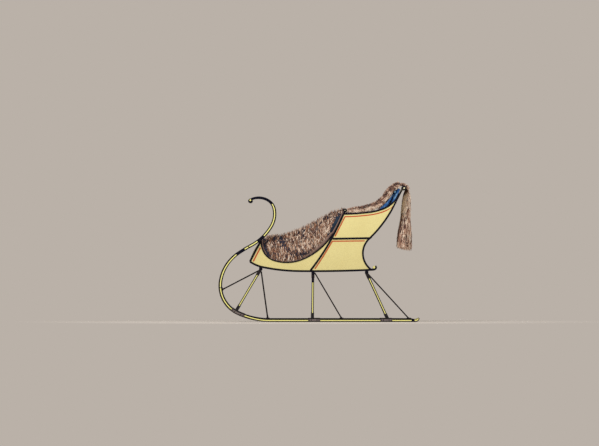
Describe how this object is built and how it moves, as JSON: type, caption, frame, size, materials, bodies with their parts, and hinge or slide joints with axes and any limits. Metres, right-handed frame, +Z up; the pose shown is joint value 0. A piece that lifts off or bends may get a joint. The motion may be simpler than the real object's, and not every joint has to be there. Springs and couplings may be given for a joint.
{
  "type": "horse drawn sleigh",
  "caption": "Light cutter sleigh with curled runners, yellow panelled body, black mouldings and brown fur robes over the entry and seat back.",
  "frame": {"origin": "on the ground under the middle of the overall box, between the runners", "axes": "+X to the rear, so the sleigh faces -X; +Y to its right side; +Z up"},
  "size_m": [2.0057, 1.0382, 1.4088],
  "materials": {
    "body_yellow": "straw yellow coach varnish on wood",
    "runner_yellow": "lemon yellow coach varnish with black edges",
    "rail_black": "blue-black coach varnish on wooden mouldings",
    "stripe_red": "thin orange-red painted line",
    "iron_black": "black painted wrought iron",
    "shoe_steel": "dark worn steel",
    "floor_wood": "oiled boards",
    "lining_brown": "brown wool cloth",
    "upholstery_blue": "blue wool cloth, buttoned",
    "robe_fur": "brown fur with pale tips"
  },
  "bodies": {
    "root": {"runner_right": "runner_yellow", "runner_left": "runner_yellow", "runner_tail_right": "runner_yellow", "runner_tail_left": "runner_yellow", "runner_shoe_right": "shoe_steel", "runner_shoe_left": "shoe_steel", "sill_rail_right": "rail_black", "sill_rail_left": "rail_black", "front_rail_right": "rail_black", "front_rail_left": "rail_black", "pillar_rail_right": "rail_black", "pillar_rail_left": "rail_black", "arm_rail_right": "rail_black", "arm_rail_left": "rail_black", "back_rail_right": "rail_black", "back_rail_left": "rail_black", "belt_rail_right": "rail_black", "belt_rail_left": "rail_black", "front_side_panel_right": "body_yellow", "front_side_panel_left": "body_yellow", "lower_side_panel_right": "body_yellow", "lower_side_panel_left": "body_yellow", "upper_side_panel_right": "body_yellow", "upper_side_panel_left": "body_yellow", "arm_squab_right": "upholstery_blue", "arm_squab_left": "upholstery_blue", "entry_lining_right": "lining_brown", "entry_lining_left": "lining_brown", "post_front_right": "runner_yellow", "post_front_left": "runner_yellow", "post_middle_right": "runner_yellow", "post_middle_left": "runner_yellow", "post_rear_right": "runner_yellow", "post_rear_left": "runner_yellow", "post_irons_right": "iron_black", "post_irons_left": "iron_black", "stay_rods_right": "iron_black", "stay_rods_left": "iron_black", "shaft_eye_right": "iron_black", "shaft_eye_left": "iron_black", "dash_panel": "body_yellow", "floor": "floor_wood", "lower_back_panel": "body_yellow", "upper_back_panel": "body_yellow", "dash_rail": "iron_black", "back_top_rail": "rail_black", "back_belt_rail": "rail_black", "seat_riser": "floor_wood", "seat_board": "floor_wood", "seat_cushion": "upholstery_blue", "back_squab": "upholstery_blue", "beam_front": "rail_black", "beam_middle": "rail_black", "beam_rear": "rail_black", "cross_braces": "iron_black", "lap_robe": "robe_fur", "seat_robe": "robe_fur"}
  },
  "joints": []
}
